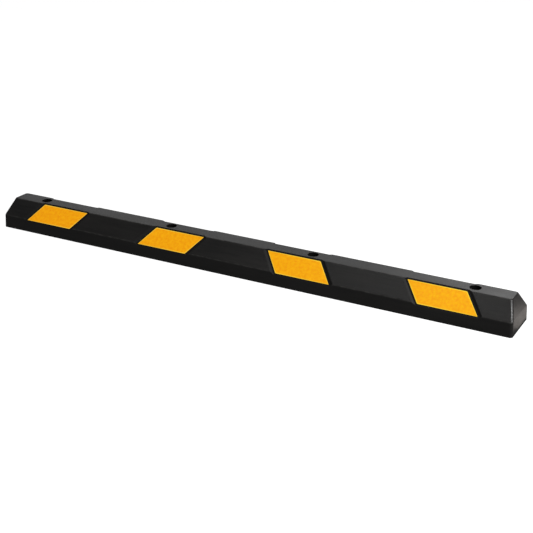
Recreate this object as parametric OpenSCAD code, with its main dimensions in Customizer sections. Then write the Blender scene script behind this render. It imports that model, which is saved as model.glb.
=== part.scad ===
// Moulded rubber parking wheel stop with reflective panels on both long sides.
// Millimetres. X runs along the stop, Y across it, +Z up.
// The origin is on the ground, at the middle of the footprint.

/* [Body] */
// Overall length of the rubber moulding
body_length = 1830; // [1800:5:1900]
// Overall width at the ground
body_width = 150; // [138:1:165]
// Overall height
body_height = 97; // [92:1:112]
// Height of the steep lower faces, up to the foot of the long slopes
lower_height = 45; // [38:1:50]
// Inward draft of the lower faces, from the ground to the foot of the slopes
lower_draft = 2; // [0.5:0.5:4]
// Width of the flat top between the two long slopes
top_width = 62; // [54:1:66]
// Inward lean of each end, from the ground to the flat top
end_inset = 20.5; // [10:0.5:30]
// Radius of the upright corners and of the hips above them, seen from above
corner_radius = 9; // [4:0.5:14]

/* [Reflector recesses] */
// Distance between neighbouring recesses along the stop
recess_pitch = 464; // [455:1:475]
// Depth of a recess, square to the slope
recess_depth = 5; // [2:0.5:6]
// Width of the recess floor along the stop
recess_floor_width = 196; // [192:1:210]
// Width of the bevelled wall on each side of the floor, along the stop
recess_bevel = 8; // [4:0.5:12]
// Lean of the recess sides towards the middle of the stop, from straight up the slope
recess_lean = 36; // [0:0.1:38]

/* [Reflective sheets] */
// Width of a sheet along the stop
sheet_width = 181; // [160:1:186]
// Length of a sheet's sides up the slope
sheet_height = 66; // [50:1:69]
// Thickness of a sheet
sheet_thickness = 1; // [0.5:0.1:2]
// Radius of the two blunt corners of a sheet
sheet_corner_radius = 5; // [1:0.5:8]

/* [Anchor holes] */
// Distance between neighbouring anchor holes
hole_pitch = 518; // [510:1:530]
// Diameter of the hole for the anchor
hole_diameter = 17; // [13:0.5:20]
// Diameter of the counterbore that hides the head of the anchor
counterbore_diameter = 34; // [30:1:38]
// Depth of the counterbore below the flat top
counterbore_depth = 27; // [22:1:32]
// Outside diameter of the steel washer moulded in under the counterbore
washer_diameter = 50; // [42:1:52]
// Thickness of the moulded-in washer
washer_thickness = 4; // [2:0.5:6]

/* [Underside] */
// Height of the pockets moulded into the underside
pocket_height = 62; // [40:1:62]
// Height at which the pocket walls start to lean in under the slopes
pocket_shoulder = 30; // [20:1:32]
// Width of a pocket at the ground
pocket_width = 88; // [70:1:90]
// Width of the pocket roof
pocket_roof_width = 40; // [30:1:44]
// Inward draft of each long pocket wall below its shoulder
pocket_draft = 2; // [0:0.5:3]
// Length of the solid block round each anchor hole
boss_length = 70; // [60:1:80]
// Thickness of the cross ribs between pockets
rib_thickness = 14; // [10:1:20]
// Thickness of the end walls
end_wall = 27; // [25:1:40]

/* [Hidden] */

rubber_black = [0.11, 0.11, 0.115];
reflector_yellow = [0.98, 0.66, 0.07];
zinc_grey = [0.66, 0.67, 0.68];

round_facets = 64;
corner_facets = 32;
corner_steps = 6;
cutter_overrun = 10;
slab_thickness = 0.01;

// Reflectors, recesses and anchor holes all come four to a side, evenly spaced
row_count = 4;
pockets_per_bay = 3;

// The long slope, from its foot at the lower face up to the flat top
slope_foot_y = body_width / 2 - lower_draft;
foot_length = body_length - 2 * lower_draft;
slope_run = slope_foot_y - top_width / 2;
slope_rise = body_height - lower_height;
slope_angle = atan2(slope_rise, slope_run);
slope_length = norm([slope_run, slope_rise]);

// The recess floor reaches a little below the foot of the slope and a little
// past its top, because it lies deeper; a sheet sits in the middle of it
floor_start = -recess_depth * tan(slope_angle + atan2(lower_draft, lower_height));
floor_end = slope_length + recess_depth / tan(slope_angle);
sheet_centre = (floor_start + floor_end) / 2;

seat_z = body_height - counterbore_depth;
boss_gap = hole_pitch - boss_length;
bay_pocket_length = (boss_gap - (pockets_per_bay - 1) * rib_thickness) / pockets_per_bay;
end_pocket_start = 1.5 * hole_pitch + boss_length / 2;
end_pocket_length = body_length / 2 - end_wall - end_pocket_start;

// Position along the stop of item 1 to 4 of a row with the given pitch
function row_x(index, pitch) = (index - (row_count + 1) / 2) * pitch;

// +1 for an item left of the middle, -1 for one right of it
function lean_side(index) = row_x(index, 1) < 0 ? 1 : -1;

// Arc of a rounded corner between two headings
function corner_arc(centre, radius, from, to) = [
    for (step = [0:corner_steps])
        let (heading = from + (to - from) * step / corner_steps)
        centre + radius * [cos(heading), sin(heading)]
];

// Outline of one sheet that leans right, centred on its middle, counter-clockwise.
// The bottom right and top left corners are the blunt ones and are rounded.
function sheet_outline() = let (
    shift = sheet_height / 2 * tan(recess_lean),
    half_width = sheet_width / 2,
    half_height = sheet_height / 2,
    setback = sheet_corner_radius * tan((90 - recess_lean) / 2),
    centre = [half_width - shift - setback, -half_height + sheet_corner_radius]
) concat(
    [[-half_width - shift, -half_height]],
    corner_arc(centre, sheet_corner_radius, -90, -recess_lean),
    [[half_width + shift, half_height]],
    corner_arc(-centre, sheet_corner_radius, 90, 180 - recess_lean)
);

// Puts its children on the front slope: local X along the stop, local Y up the
// slope from its foot, local Z square out of it
module on_front_slope() {
    translate([0, -slope_foot_y, lower_height])
        rotate([slope_angle, 0, 0])
            children();
}

// Draws its children as they are and again for the rear side
module both_sides() {
    children();
    mirror([0, 1, 0])
        children();
}

// Thin rounded slab, the plan of the moulding at one height
module plan_slab(length, width, bottom) {
    for (x_side = [-1, 1], y_side = [-1, 1])
        translate([
            x_side * (length / 2 - corner_radius),
            y_side * (width / 2 - corner_radius),
            bottom
        ])
            cylinder(h = slab_thickness, r = corner_radius, $fn = corner_facets);
}

// The outside of the moulding: steep lower faces, then slopes up to the flat top
module outer_form() {
    hull() {
        plan_slab(body_length, body_width, 0);
        plan_slab(foot_length, 2 * slope_foot_y, lower_height - slab_thickness);
    }
    hull() {
        plan_slab(foot_length, 2 * slope_foot_y, lower_height - slab_thickness);
        plan_slab(body_length - 2 * end_inset, top_width, body_height - slab_thickness);
    }
}

// One recess: a shallow channel that runs right across the slope. Its widths are
// given along the stop, so they shrink by the cosine of the lean when squared up.
module recess_cutter(index) {
    square_up = cos(recess_lean);
    floor_half = recess_floor_width / 2 * square_up;
    wall_run = recess_bevel / recess_depth * square_up;
    mouth_half = floor_half + (recess_depth + cutter_overrun) * wall_run;
    translate([row_x(index, recess_pitch), sheet_centre, 0])
        rotate([90, 0, -recess_lean * lean_side(index)])
            linear_extrude(height = 3 * slope_length, center = true)
                polygon([
                    [-floor_half, -recess_depth],
                    [floor_half, -recess_depth],
                    [mouth_half, cutter_overrun],
                    [-mouth_half, cutter_overrun]
                ]);
}

// Clearance for the anchor, its head and the washer that is moulded in
module anchor_cutter() {
    translate([0, 0, -cutter_overrun])
        cylinder(h = body_height, d = hole_diameter, $fn = round_facets);
    translate([0, 0, seat_z])
        cylinder(h = counterbore_depth + cutter_overrun, d = counterbore_diameter, $fn = round_facets);
    translate([0, 0, seat_z - washer_thickness])
        cylinder(h = washer_thickness, d = washer_diameter, $fn = round_facets);
}

// One pocket of the given length, centred on X
module pocket_cutter(length) {
    rotate([90, 0, 90])
        linear_extrude(height = length, center = true)
            polygon([
                [-pocket_width / 2, -cutter_overrun],
                [pocket_width / 2, -cutter_overrun],
                [pocket_width / 2, 0],
                [pocket_width / 2 - pocket_draft, pocket_shoulder],
                [pocket_roof_width / 2, pocket_height],
                [-pocket_roof_width / 2, pocket_height],
                [-pocket_width / 2 + pocket_draft, pocket_shoulder],
                [-pocket_width / 2, 0]
            ]);
}

// The pockets lighten the moulding and leave a rim, cross ribs and solid blocks
module underside_pockets() {
    for (bay = [-1:1])
        for (place = [0:pockets_per_bay - 1])
            translate([
                bay * hole_pitch
                    + (place - (pockets_per_bay - 1) / 2) * (bay_pocket_length + rib_thickness),
                0,
                0
            ])
                pocket_cutter(bay_pocket_length);
    for (side = [-1, 1])
        translate([side * (end_pocket_start + end_pocket_length / 2), 0, 0])
            pocket_cutter(end_pocket_length);
}

// The one-piece rubber moulding
module rubber_body() {
    color(rubber_black)
        difference() {
            outer_form();
            both_sides()
                on_front_slope()
                    for (index = [1:row_count])
                        recess_cutter(index);
            for (index = [1:row_count])
                translate([row_x(index, hole_pitch), 0, 0])
                    anchor_cutter();
            underside_pockets();
        }
}

// A reflective sheet bonded to the floor of one recess of the front slope
module front_reflector(index) {
    color(reflector_yellow)
        on_front_slope()
            translate([row_x(index, recess_pitch), sheet_centre, -recess_depth])
                linear_extrude(height = sheet_thickness)
                    mirror([lean_side(index) < 0 ? 1 : 0, 0])
                        polygon(sheet_outline());
}

// The same sheet on the rear slope
module rear_reflector(index) {
    mirror([0, 1, 0])
        front_reflector(index);
}

// A flat steel ring held by the rubber, on which the head of the anchor bears
module anchor_washer(index) {
    color(zinc_grey)
        translate([row_x(index, hole_pitch), 0, seat_z - washer_thickness])
            difference() {
                cylinder(h = washer_thickness, d = washer_diameter, $fn = round_facets);
                translate([0, 0, -cutter_overrun])
                    cylinder(h = 3 * cutter_overrun, d = hole_diameter, $fn = round_facets);
            }
}

rubber_body();
front_reflector(1);  // front_reflector_1
front_reflector(2);  // front_reflector_2
front_reflector(3);  // front_reflector_3
front_reflector(4);  // front_reflector_4
rear_reflector(1);  // rear_reflector_1
rear_reflector(2);  // rear_reflector_2
rear_reflector(3);  // rear_reflector_3
rear_reflector(4);  // rear_reflector_4
anchor_washer(1);  // anchor_washer_1
anchor_washer(2);  // anchor_washer_2
anchor_washer(3);  // anchor_washer_3
anchor_washer(4);  // anchor_washer_4
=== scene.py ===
from math import cos, radians, sin, sqrt

import bmesh
import bpy
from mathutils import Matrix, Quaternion, Vector


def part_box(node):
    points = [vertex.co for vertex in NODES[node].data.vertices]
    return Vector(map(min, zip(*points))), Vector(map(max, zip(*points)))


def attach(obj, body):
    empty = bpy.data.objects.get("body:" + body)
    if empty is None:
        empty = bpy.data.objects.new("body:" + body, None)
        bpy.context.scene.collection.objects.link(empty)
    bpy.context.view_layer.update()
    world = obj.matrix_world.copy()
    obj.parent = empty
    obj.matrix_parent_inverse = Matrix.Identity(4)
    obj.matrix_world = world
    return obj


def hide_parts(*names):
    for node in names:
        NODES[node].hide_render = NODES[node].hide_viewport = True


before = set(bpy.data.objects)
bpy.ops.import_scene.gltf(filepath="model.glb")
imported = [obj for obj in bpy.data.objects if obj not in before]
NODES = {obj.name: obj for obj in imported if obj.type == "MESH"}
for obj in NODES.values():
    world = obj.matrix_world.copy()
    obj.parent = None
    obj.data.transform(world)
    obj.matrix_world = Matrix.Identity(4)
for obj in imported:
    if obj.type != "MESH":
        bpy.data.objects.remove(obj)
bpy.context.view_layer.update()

MM = 0.001
ROW = (1, 2, 3, 4)
BODY_LOW, BODY_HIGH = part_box("rubber_body")


# ---------------------------------------------------------------- camera
CAMERA_PLACE = Vector((1.6146, -2.7781, 1.3425))
CAMERA_AZIMUTH = 28.658
CAMERA_ELEVATION = 22.606
CAMERA_ROLL = 0.165
CAMERA_LENS = 73.294
SENSOR_WIDTH = 36
CLIP_NEAR, CLIP_FAR = 0.05, 100


def make_camera():
    data = bpy.data.cameras.new("camera")
    data.sensor_width = SENSOR_WIDTH
    data.lens = CAMERA_LENS
    data.clip_start, data.clip_end = CLIP_NEAR, CLIP_FAR
    azimuth, elevation = radians(CAMERA_AZIMUTH), radians(CAMERA_ELEVATION)
    forward = Vector((
        -sin(azimuth) * cos(elevation),
        cos(azimuth) * cos(elevation),
        -sin(elevation),
    ))
    camera = bpy.data.objects.new("camera", data)
    camera.location = CAMERA_PLACE
    camera.rotation_mode = "QUATERNION"
    roll = Quaternion((0, 0, 1), radians(CAMERA_ROLL))
    camera.rotation_quaternion = forward.to_track_quat("-Z", "Y") @ roll
    bpy.context.scene.collection.objects.link(camera)
    bpy.context.scene.camera = camera


# ---------------------------------------------------------------- node helpers
# A Mix node has a set of sockets for each kind of data, all with the same names
MIX_VECTORS, MIX_VECTOR_OUT = (4, 5), 1
MIX_COLOURS, MIX_COLOUR_OUT = (6, 7), 2
X_AXIS, Z_AXIS = (1, 0, 0), (0, 0, 1)


class Shading:
    """A material with one Principled shader, and short calls that add nodes to it."""

    def __init__(self, name):
        self.material = bpy.data.materials.new(name)
        self.material.use_nodes = True
        self.tree = self.material.node_tree
        self.tree.nodes.clear()
        output = self.add("ShaderNodeOutputMaterial")
        self.shader = self.add("ShaderNodeBsdfPrincipled")
        self.tree.links.new(self.shader.outputs["BSDF"], output.inputs["Surface"])

    def add(self, kind, **settings):
        node = self.tree.nodes.new(kind)
        for name, value in settings.items():
            setattr(node, name, value)
        return node

    def feed(self, socket, value):
        """Links a socket to another one, or sets its constant."""
        if isinstance(value, bpy.types.NodeSocket):
            self.tree.links.new(value, socket)
        else:
            socket.default_value = value

    def set(self, **values):
        """Sets or links the shader's own inputs; underscores stand for spaces."""
        for name, value in values.items():
            self.feed(self.shader.inputs[name.replace("_", " ")], value)

    def object_place(self):
        return self.add("ShaderNodeTexCoord").outputs["Object"]

    def sheet_place(self):
        return self.add("ShaderNodeTexCoord").outputs["UV"]

    def mark(self, name):
        """A number that the mesh carries on each face, 0 to 1."""
        return self.add("ShaderNodeAttribute", attribute_name=name).outputs["Fac"]

    def math(self, operation, a, b=0.0):
        node = self.add("ShaderNodeMath", operation=operation)
        self.feed(node.inputs[0], a)
        self.feed(node.inputs[1], b)
        return node.outputs["Value"]

    def vector(self, operation, a, b=(0, 0, 0)):
        node = self.add("ShaderNodeVectorMath", operation=operation)
        self.feed(node.inputs[0], a)
        self.feed(node.inputs[1], b)
        return node.outputs["Value" if operation in ("DOT_PRODUCT", "LENGTH") else "Vector"]

    def stretch(self, place, scale):
        return self.vector("MULTIPLY", place, scale)

    def noise(self, place, size, detail=2.0, roughness=0.5):
        """Cloudy noise, 0 to 1, whose blobs are about size across."""
        node = self.add("ShaderNodeTexNoise")
        self.feed(node.inputs["Vector"], place)
        node.inputs["Scale"].default_value = 1 / size
        node.inputs["Detail"].default_value = detail
        node.inputs["Roughness"].default_value = roughness
        return node.outputs["Fac"]

    def cells(self, place, size):
        """Distance from the middle of irregular cells, each about size across."""
        node = self.add("ShaderNodeTexVoronoi")
        self.feed(node.inputs["Vector"], place)
        node.inputs["Scale"].default_value = 1 / size
        return node.outputs["Distance"]

    def remap(self, value, old, new=(0, 1)):
        """Stretches the range old to the range new and holds it there outside old."""
        node = self.add("ShaderNodeMapRange")
        self.feed(node.inputs["Value"], value)
        node.inputs["From Min"].default_value, node.inputs["From Max"].default_value = old
        node.inputs["To Min"].default_value, node.inputs["To Max"].default_value = new
        return node.outputs["Result"]

    def blend(self, amount, a, b):
        """Colour a where amount is 0, and b where it is 1."""
        node = self.add("ShaderNodeMix", data_type="RGBA")
        self.feed(node.inputs["Factor"], amount)
        for socket, colour in zip(MIX_COLOURS, (a, b)):
            self.feed(node.inputs[socket], colour)
        return node.outputs[MIX_COLOUR_OUT]

    def bump(self, height, depth, below=None):
        """Relief of the given depth, on top of another relief if one is given."""
        node = self.add("ShaderNodeBump")
        node.inputs["Distance"].default_value = depth
        self.feed(node.inputs["Height"], height)
        if below is not None:
            self.feed(node.inputs["Normal"], below)
        return node.outputs["Normal"]


# ---------------------------------------------------------------- materials
# Parts of the 0 to 1 range that noise mostly stays in
MOST_NOISE = (0.3, 0.7)
MIDDLE_NOISE = (0.35, 0.65)

RUBBER_DARK = (0.0114, 0.011, 0.0106, 1)
RUBBER_LIGHT = (0.022, 0.0205, 0.0193, 1)
RUBBER_FLECK = (0.035, 0.033, 0.031, 1)
# Darker rubber colour that paints shade on the recess and lower faces
RUBBER_PAINTED_SHADE = (0.006, 0.0055, 0.005, 1)
# Paler rubber for the long edges: wear and a painted highlight
RUBBER_SCUFF_AND_HIGHLIGHT = (0.085, 0.083, 0.08, 1)
CLOUD_SIZE = 60 * MM
CLOUD_SHARE = 0.6
FLOW_STRETCH = (0.25, 1, 1)
FLOW_NOISE = (0.38, 0.62)
STREAK_SIZE = 7 * MM
STREAK_SHARE = 0.4
STREAK_STRETCH = (0.07, 1, 1)
FLECK_SIZE = 2.6 * MM
FLECK_NOISE = (0.6, 0.72)
FLECK_STRENGTH = 0.7
CRUMB_SIZE = 1.3 * MM
CRUMB_DEPTH = 0.06 * MM
PORE_SIZE = 0.45 * MM
PORE_DEPTH = 0.02 * MM
RUBBER_ROUGHNESS = (0.39, 0.47)
FLECK_ROUGHNESS = (-0.03, 0.03)
HOLLOW_ROUGHNESS = 0.4
# The corners are rubbed smoothest at this height, and less up to the reach from it
CORNER_POLISH = 0.15
POLISH_MIDDLE = 68 * MM
POLISH_REACH = 26 * MM

# The long edges of the front half, as points across the stop; the rear is its mirror
WORN_AND_HIGHLIT_EDGES = ((0, 31 * MM, 97 * MM), (0, 73 * MM, 45 * MM))
WEAR_AND_HIGHLIGHT_REACH = 3.2 * MM
SCUFF_SIZE = 9 * MM
SCUFF_STRETCH = (0.35, 1, 1)
SCUFF_NOISE = (0.42, 0.6)
LEAST_SCUFF = 0.15


def edge_wear_and_highlight(look, place):
    """1 on the long edges, fading to 0 beside them, and broken up into scuffs; the paler edge is partly
    wear and partly a painted highlight.
    """
    across = look.vector("MULTIPLY", look.vector("ABSOLUTE", place), (0, 1, 1))
    gaps = [look.vector("LENGTH", look.vector("SUBTRACT", across, edge)) for edge in WORN_AND_HIGHLIT_EDGES]
    near = look.remap(look.math("MINIMUM", *gaps), (0, WEAR_AND_HIGHLIGHT_REACH), (1, 0))
    scuff = look.noise(look.stretch(place, SCUFF_STRETCH), SCUFF_SIZE, detail=4, roughness=0.65)
    return look.math("MULTIPLY", near, look.remap(scuff, SCUFF_NOISE, (LEAST_SCUFF, 1)))


def rubber_material():
    """Moulded recycled rubber: flow clouds and streaks, paler crumbs and a fine satin grain.

    Corners are rubbed smoother. The long edges are paler, partly from scuffs and partly as a painted
    highlight, and the recess and lower faces get painted shade and a duller finish.
    """
    look = Shading("rubber")
    place = look.object_place()
    cloud = look.noise(look.stretch(place, FLOW_STRETCH), CLOUD_SIZE, detail=3)
    streak = look.noise(look.stretch(place, STREAK_STRETCH), STREAK_SIZE, detail=2)
    crumb = look.cells(place, CRUMB_SIZE)
    pore = look.noise(place, PORE_SIZE, detail=1)
    fleck = look.noise(place, FLECK_SIZE, detail=2, roughness=0.6)
    flow = look.math(
        "ADD", look.math("MULTIPLY", cloud, CLOUD_SHARE), look.math("MULTIPLY", streak, STREAK_SHARE)
    )
    colour = look.blend(look.remap(flow, FLOW_NOISE), RUBBER_DARK, RUBBER_LIGHT)
    colour = look.blend(look.remap(fleck, FLECK_NOISE, (0, FLECK_STRENGTH)), colour, RUBBER_FLECK)
    # Paler long edges: scuffs of wear and a painted highlight on the rounded edges
    colour = look.blend(edge_wear_and_highlight(look, place), colour, RUBBER_SCUFF_AND_HIGHLIGHT)
    # Painted shade: the recess faces and the lower faces are darkened
    colour = look.blend(look.mark("painted_shade_and_dullness"), colour, RUBBER_PAINTED_SHADE)
    relief = look.bump(crumb, CRUMB_DEPTH)
    relief = look.bump(pore, PORE_DEPTH, relief)
    roughness = look.math(
        "ADD",
        look.remap(flow, MIDDLE_NOISE, RUBBER_ROUGHNESS),
        look.remap(fleck, MOST_NOISE, FLECK_ROUGHNESS),
    )
    height = look.vector("DOT_PRODUCT", place, Z_AXIS)
    away = look.math("ABSOLUTE", look.math("SUBTRACT", height, POLISH_MIDDLE))
    rubbed = look.remap(away, (0, POLISH_REACH), (CORNER_POLISH, 0))
    roughness = look.math("SUBTRACT", roughness, look.math("MULTIPLY", look.mark("polish"), rubbed))
    roughness = look.math("ADD", roughness, look.math("MULTIPLY", look.mark("painted_shade_and_dullness"), HOLLOW_ROUGHNESS))
    look.set(Base_Color=colour, Roughness=roughness, Normal=relief)
    return look.material


# Near black that paints the shade deep in the anchor holes
HOLE_PAINTED_SHADE = (0.004, 0.004, 0.004, 1)
HOLE_DUST = (0.008, 0.0075, 0.007, 1)
HOLE_DUST_SIZE = 5 * MM
HOLE_DUST_NOISE = (0.4, 0.65)
HOLE_ROUGHNESS = (0.75, 0.9)
HOLE_SPECULAR = 0.12


def hole_material():
    """The same rubber deep in the anchor holes, darkened to near black as painted shade, matt, with a
    trace of dust.
    """
    look = Shading("rubber_in_holes_painted_shade")
    place = look.object_place()
    dust = look.noise(place, HOLE_DUST_SIZE, detail=3)
    look.set(
        Base_Color=look.blend(look.remap(dust, HOLE_DUST_NOISE), HOLE_PAINTED_SHADE, HOLE_DUST),
        Roughness=look.remap(dust, MOST_NOISE, HOLE_ROUGHNESS),
        Specular_IOR_Level=HOLE_SPECULAR,
        Normal=look.bump(look.noise(place, PORE_SIZE, detail=1), PORE_DEPTH),
    )
    return look.material


SHEET_CELL = (0.95, 0.395, 0.002, 1)
SHEET_DEEP = (0.82, 0.275, 0.001, 1)
SHEET_WALL = (0.97, 0.46, 0.012, 1)
SHEET_RIM = (1.0, 0.62, 0.06, 1)
SHEET_CELL_SIZE = 3.6 * MM
# How far out in a cell its wall begins and where it is full, its strength and height
WALL_RANGE = (0.84, 0.95)
WALL_STRENGTH = 0.7
WALL_HEIGHT = 0.03 * MM
SHEET_BLOTCH = 9 * MM
SHEET_ROUGHNESS = (0.40, 0.50)
SHEET_SPECULAR = 0.15
SHEET_COAT = 0.05
SHEET_COAT_ROUGHNESS = 0.25
# The film throws light back, which a steady glow of its own colour stands in for
SHEET_GLOW = 0.78
SHEET_SHADE = (0.5, 0.5, 0.5)
# The hue drifts a little from one end of the stop to the other
SHEET_DRIFT = (1, 1.1, 0.7)
DRIFT_REACH = 0.7


def sheet_material():
    """Retroreflective film: honeycomb cells under a clear skin, with a paler sealed rim."""
    look = Shading("reflective_sheeting")
    place = look.sheet_place()
    edge = hexagon_edge(look, place, SHEET_CELL_SIZE)
    wall = look.remap(edge, WALL_RANGE)
    blotch = look.noise(place, SHEET_BLOTCH, detail=3, roughness=0.6)
    colour = look.blend(look.remap(blotch, MIDDLE_NOISE), SHEET_DEEP, SHEET_CELL)
    colour = look.blend(look.math("MULTIPLY", wall, WALL_STRENGTH), colour, SHEET_WALL)
    colour = look.blend(look.mark("rim"), colour, SHEET_RIM)
    along = look.vector("DOT_PRODUCT", look.object_place(), X_AXIS)
    drift = look.remap(along, (-DRIFT_REACH, DRIFT_REACH))
    colour = look.blend(drift, colour, look.stretch(colour, SHEET_DRIFT))
    look.set(
        Base_Color=look.stretch(colour, SHEET_SHADE),
        Roughness=look.remap(blotch, MOST_NOISE, SHEET_ROUGHNESS),
        Specular_IOR_Level=SHEET_SPECULAR,
        Emission_Color=colour,
        Emission_Strength=SHEET_GLOW,
        Coat_Weight=SHEET_COAT,
        Coat_Roughness=SHEET_COAT_ROUGHNESS,
        Normal=look.bump(wall, WALL_HEIGHT),
    )
    return look.material


def hexagon_edge(look, place, size):
    """0 in the middle of each regular hexagon of the given width, 1 on its edges.

    The middles lie on two rectangular grids, one shifted by half a period from the other.
    """
    period = (1, sqrt(3), 1)
    half = (0.5, sqrt(3) / 2, 0.5)
    point = look.stretch(place, (1 / size, 1 / size, 0))
    first = look.vector("SUBTRACT", positive_remainder(look, point, period), half)
    shifted = look.vector("ADD", point, half)
    second = look.vector("SUBTRACT", positive_remainder(look, shifted, period), half)
    nearer = look.math(
        "LESS_THAN", look.vector("DOT_PRODUCT", first, first), look.vector("DOT_PRODUCT", second, second)
    )
    pick = look.add("ShaderNodeMix", data_type="VECTOR")
    look.feed(pick.inputs["Factor"], nearer)
    for socket, middle in zip(MIX_VECTORS, (second, first)):
        look.feed(pick.inputs[socket], middle)
    local = look.vector("ABSOLUTE", pick.outputs[MIX_VECTOR_OUT])
    across = look.vector("DOT_PRODUCT", local, X_AXIS)
    slanted = look.vector("DOT_PRODUCT", local, (0.5, sqrt(3) / 2, 0))
    return look.math("MULTIPLY", look.math("MAXIMUM", across, slanted), 2.0)


def positive_remainder(look, point, period):
    """What is left of point after whole periods, never negative. The third axis is unused."""
    count = look.vector("FLOOR", look.vector("DIVIDE", point, period))
    return look.vector("SUBTRACT", point, look.vector("MULTIPLY", count, period))


STEEL_LIGHT = (0.62, 0.63, 0.64, 1)
STEEL_DARK = (0.42, 0.43, 0.45, 1)
SPANGLE_SIZE = 4 * MM
SPANGLE_RANGE = (0, 0.8)
FILM_SIZE = 1.2 * MM
FILM_HEIGHT = 0.01 * MM
STEEL_ROUGHNESS = (0.28, 0.46)


def steel_material():
    """Zinc-plated steel: soft spangle, a little uneven gloss."""
    look = Shading("zinc_plated_steel")
    place = look.object_place()
    spangle = look.cells(place, SPANGLE_SIZE)
    film = look.noise(place, FILM_SIZE, detail=3)
    colour = look.blend(look.remap(spangle, SPANGLE_RANGE), STEEL_LIGHT, STEEL_DARK)
    look.set(
        Base_Color=colour,
        Metallic=1.0,
        Roughness=look.remap(film, MOST_NOISE, STEEL_ROUGHNESS),
        Normal=look.bump(film, FILM_HEIGHT),
    )
    return look.material


# ---------------------------------------------------------------- pieces
WELD_GAP = 0.001 * MM
FLAT_ANGLE = radians(0.3)


def welded_copy(node):
    """A bmesh of a CAD node with its seams welded and its flat faces made whole again."""
    bm = bmesh.new()
    bm.from_mesh(NODES[node].data)
    bmesh.ops.remove_doubles(bm, verts=bm.verts, dist=WELD_GAP)
    bmesh.ops.dissolve_limit(bm, angle_limit=FLAT_ANGLE, verts=bm.verts, edges=bm.edges)
    return bm


def finish_piece(bm, name, material, node):
    """Makes the bmesh an object that rides on the part and stands for a CAD node."""
    mesh = bpy.data.meshes.new(name)
    bm.to_mesh(mesh)
    bm.free()
    mesh.materials.append(material)
    piece = bpy.data.objects.new(name, mesh)
    bpy.context.scene.collection.objects.link(piece)
    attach(piece, "root")
    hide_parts(node)
    return piece


def hole_centres():
    """The anchor holes' axes, taken from the washers that lie in them."""
    corners = [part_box(f"anchor_washer_{index}") for index in ROW]
    return [(low + high) / 2 for low, high in corners]


HOLE_CENTRES = hole_centres()
HOLE_REACH = 18 * MM
END_ZONE = BODY_HIGH.x - 40 * MM
LEVEL = 0.01 * MM
# Parts of a unit normal that tell one kind of face from another
FLAT = 0.99
LEAST_RISE = 0.01
SLOPE_RISE = 0.2
RECESS_TURN = 0.3


def face_kind(face):
    """Says which part of the moulding a face is, from where it is and which way it looks."""
    place, normal = face.calc_center_bounds(), face.normal
    if normal.z < -FLAT and place.z < BODY_LOW.z + LEVEL:
        return "ground"
    if normal.z > FLAT and place.z > BODY_HIGH.z - LEVEL:
        return "top"
    if any((place - hole).xy.length < HOLE_REACH for hole in HOLE_CENTRES):
        return "hole"
    if normal.z < LEAST_RISE:
        return "pocket"
    if abs(normal.x) > RECESS_TURN and abs(place.x) < END_ZONE:
        return "recess"
    return "slope" if normal.z > SLOPE_RISE else "side"


NO_TURN = 0.01
BED_DEPTH = 2 * MM


def mark_recess_beds(kinds):
    """Tells the floors of the recesses from the long slopes, which are parallel but higher."""
    slopes = [face for face in kinds if kinds[face] == "slope" and abs(face.normal.x) < NO_TURN]
    height = {face: face.normal.dot(face.calc_center_bounds()) for face in slopes}
    slope_height = max(height.values())
    for face in slopes:
        if height[face] < slope_height - BED_DEPTH:
            kinds[face] = "bed"


# Rounding of the edge between two kinds of face; edges that aren't listed stay sharp
ROUNDING = {
    frozenset(("top", "slope")): 2.5 * MM,
    frozenset(("slope", "side")): 3 * MM,
    frozenset(("side", "ground")): 1.2 * MM,
    frozenset(("recess", "top")): 0.8 * MM,
    frozenset(("recess", "slope")): 1.2 * MM,
    frozenset(("recess", "side")): 1.2 * MM,
    frozenset(("recess", "bed")): 0.8 * MM,
    frozenset(("bed", "top")): 0.8 * MM,
    frozenset(("bed", "side")): 1.2 * MM,
    frozenset(("pocket", "ground")): 1.5 * MM,
    frozenset(("pocket",)): 3 * MM,
    frozenset(("hole", "top")): 1 * MM,
    frozenset(("hole", "ground")): 1 * MM,
}
LARGEST_ROUNDING = max(ROUNDING.values())
SOFT_TURN = radians(15)
ROUNDING_SEGMENTS = 4
LARGE_FACES_ONLY = 100
# A face that lies flatter than this points to no side
LEAST_PLAN = 0.1

# How much painted shade and duller finish a kind of face gets, for lying deep or for facing away from
# the light
PAINTED_SHADE_AND_DULLNESS = {"bed": 1.0, "recess": 0.3, "side": 0.3}


def corner_share(face):
    """0 on the long slopes and on the ends, 1 halfway round the corner between them."""
    plan = face.normal.xy
    if abs(face.calc_center_bounds().x) < END_ZONE or plan.length < LEAST_PLAN:
        return 0.0
    return min(1.0, 2 * abs(plan.x * plan.y) / plan.length_squared)


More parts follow.
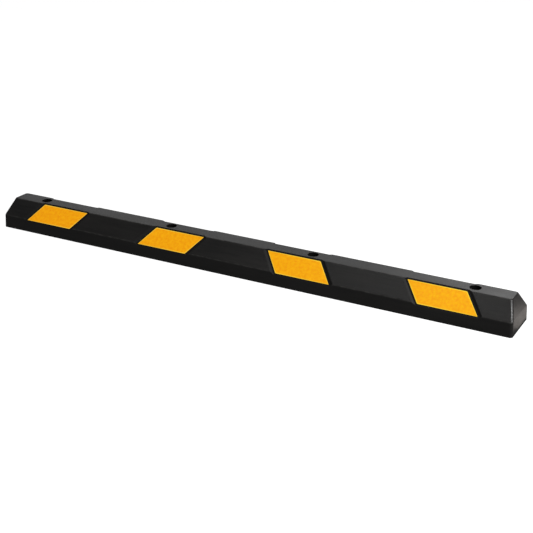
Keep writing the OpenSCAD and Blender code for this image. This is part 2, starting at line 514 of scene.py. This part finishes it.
def make_body(material, deep_material):
    """The moulding, with rounded edges, smooth corners and painted shade deep in the holes."""
    bm = welded_copy("rubber_body")
    weight = bm.edges.layers.float.new("bevel_weight_edge")
    painted_shade_and_dullness = bm.faces.layers.float.new("painted_shade_and_dullness")
    polish = bm.faces.layers.float.new("polish")
    kinds = {face: face_kind(face) for face in bm.faces}
    mark_recess_beds(kinds)
    for edge in bm.edges:
        turn = edge.calc_face_angle()
        pair = frozenset(kinds[face] for face in edge.link_faces)
        if turn > SOFT_TURN:
            edge[weight] = ROUNDING.get(pair, 0) / LARGEST_ROUNDING
            edge.smooth = edge[weight] > 0
    for face in bm.faces:
        face.smooth = True
        # Painted shade and a duller finish, by kind of face
        face[painted_shade_and_dullness] = PAINTED_SHADE_AND_DULLNESS.get(kinds[face], 0.0)
        face[polish] = corner_share(face) if kinds[face] == "slope" else 0.0
        face.material_index = 1 if kinds[face] == "hole" else 0
    piece = finish_piece(bm, "rubber_moulding", material, "rubber_body")
    piece.data.materials.append(deep_material)
    bevel = piece.modifiers.new("rounded_edges", "BEVEL")
    bevel.limit_method = "WEIGHT"
    bevel.width = LARGEST_ROUNDING
    bevel.segments = ROUNDING_SEGMENTS
    bevel.use_clamp_overlap = False
    flat = piece.modifiers.new("flat_faces", "WEIGHTED_NORMAL")
    flat.keep_sharp = True
    flat.weight = LARGE_FACES_ONLY


RIM_WIDTH = 2.2 * MM
RIM_STEP = 0.6 * MM
RIM_DROP = 0.3 * MM


def make_sheet(node, material):
    """A film sheet: its sealed rim is pressed a little lower than the cells inside it."""
    bm = welded_copy(node)
    rim = bm.faces.layers.float.new("rim")
    uv = bm.loops.layers.uv.new("sheet")
    face = max(bm.faces, key=lambda f: f.calc_area() * (f.normal.z > 0))
    normal = face.normal.copy()
    band = bmesh.ops.inset_region(bm, faces=[face], thickness=RIM_WIDTH)["faces"]
    bmesh.ops.inset_region(bm, faces=[face], thickness=RIM_STEP)
    for vert in {vert for each in band for vert in each.verts}:
        vert.co -= normal * RIM_DROP
    for each in band:
        each[rim] = 1.0
    up_slope = normal.cross(Vector((1, 0, 0))).normalized()
    for each in bm.faces:
        for loop in each.loops:
            loop[uv].uv = (loop.vert.co.x, loop.vert.co.dot(up_slope))
    piece = finish_piece(bm, node + "_sheet", material, node)
    # Its glow stands for light thrown back to the viewer, so it doesn't light the rubber
    piece.visible_diffuse = False
    piece.visible_glossy = False


WASHER_ROUND = 0.5 * MM
WASHER_SEGMENTS = 3
RIM_TURN = radians(60)
ROUND_PROFILE = 0.5


def make_washer(node, material):
    """A steel ring with its rims broken."""
    bm = welded_copy(node)
    rims = [edge for edge in bm.edges if edge.calc_face_angle() > RIM_TURN]
    bmesh.ops.bevel(
        bm,
        geom=rims,
        offset=WASHER_ROUND,
        segments=WASHER_SEGMENTS,
        profile=ROUND_PROFILE,
        affect="EDGES",
    )
    for face in bm.faces:
        face.smooth = abs(face.normal.z) < FLAT
    finish_piece(bm, node + "_ring", material, node)


# ---------------------------------------------------------------- stage
FLOOR_GAP = 0.2 * MM
FLOOR_REACH = 20
FLOOR_SHADE = (0.35, 0.35, 0.35, 1)
FLOOR_ROUGHNESS = 0.9
FLOOR_GLOW = 0.95
WHITE = (1, 1, 1, 1)


def make_floor():
    """A plain white floor that takes faint shadows and neither lights nor shows in the rubber."""
    bm = bmesh.new()
    bmesh.ops.create_grid(bm, x_segments=1, y_segments=1, size=FLOOR_REACH)
    mesh = bpy.data.meshes.new("floor")
    bm.to_mesh(mesh)
    bm.free()
    floor = bpy.data.objects.new("floor", mesh)
    floor.location.z = BODY_LOW.z - FLOOR_GAP
    look = Shading("floor")
    look.set(
        Base_Color=FLOOR_SHADE,
        Roughness=FLOOR_ROUGHNESS,
        Specular_IOR_Level=0.0,
        Emission_Color=WHITE,
        Emission_Strength=FLOOR_GLOW,
    )
    mesh.materials.append(look.material)
    bpy.context.scene.collection.objects.link(floor)
    floor.visible_diffuse = False
    floor.visible_glossy = False


def softbox(name, place, target, width, height, power, colour=(1, 1, 1)):
    """A soft light of the given size in metres and power in watts, aimed at the target."""
    data = bpy.data.lights.new(name, "AREA")
    data.shape = "RECTANGLE"
    data.size = width
    data.size_y = height
    data.energy = power
    data.color = colour
    light = bpy.data.objects.new(name, data)
    light.location = place
    light.rotation_mode = "QUATERNION"
    light.rotation_quaternion = (Vector(target) - Vector(place)).to_track_quat("-Z", "Y")
    light.visible_camera = False
    bpy.context.scene.collection.objects.link(light)


FILL = 0.13
WARM = (1, 0.92, 0.86)


def make_world():
    """White where the camera sees it, and a dim even fill for everything else."""
    world = bpy.data.worlds.new("studio")
    bpy.context.scene.world = world
    world.use_nodes = True
    nodes, links = world.node_tree.nodes, world.node_tree.links
    nodes.clear()
    output = nodes.new("ShaderNodeOutputWorld")
    seen = nodes.new("ShaderNodeBackground")
    seen.inputs["Color"].default_value = WHITE
    fill = nodes.new("ShaderNodeBackground")
    fill.inputs["Color"].default_value = WHITE
    fill.inputs["Strength"].default_value = FILL
    path = nodes.new("ShaderNodeLightPath")
    mix = nodes.new("ShaderNodeMixShader")
    links.new(path.outputs["Is Camera Ray"], mix.inputs["Fac"])
    links.new(fill.outputs["Background"], mix.inputs[1])
    links.new(seen.outputs["Background"], mix.inputs[2])
    links.new(mix.outputs["Shader"], output.inputs["Surface"])


def make_studio():
    """White surroundings, soft lights behind and at the right, and light off the floor there."""
    make_world()
    make_floor()
    bpy.context.scene.view_settings.view_transform = "Standard"
    middle = (0, 0, 0.05)
    right_end = Vector((BODY_HIGH.x, 0, 0))
    softbox("back_light", (-1.4, 3.0, 1.6), middle, 4.0, 1.4, 14)
    softbox("back_end_light", (0.3, 2.7, 1.2), (0.6, 0, 0.09), 1.0, 0.9, 6)
    softbox("side_light", (3.0, -0.7, 2.0), (0.8, 0, 0.05), 1.0, 1.0, 19)
    softbox("corner_light", (3.1, -0.65, 2.15), (0.9, 0, 0.07), 0.6, 0.7, 50)
    softbox("front_light", (0.0, -1.5, 2.1), (0.5, 0, 0.05), 0.9, 0.7, 4.5)
    bounce = right_end + Vector((0.125, 0.12, 0.003))
    softbox("floor_bounce", bounce, bounce + Vector((0, 0, 1)), 0.24, 0.26, 0.28, WARM)


make_camera()
make_studio()
rubber = rubber_material()
sheeting = sheet_material()
steel = steel_material()
make_body(rubber, hole_material())
for side in ("front", "rear"):
    for index in ROW:
        make_sheet(f"{side}_reflector_{index}", sheeting)
for index in ROW:
    make_washer(f"anchor_washer_{index}", steel)
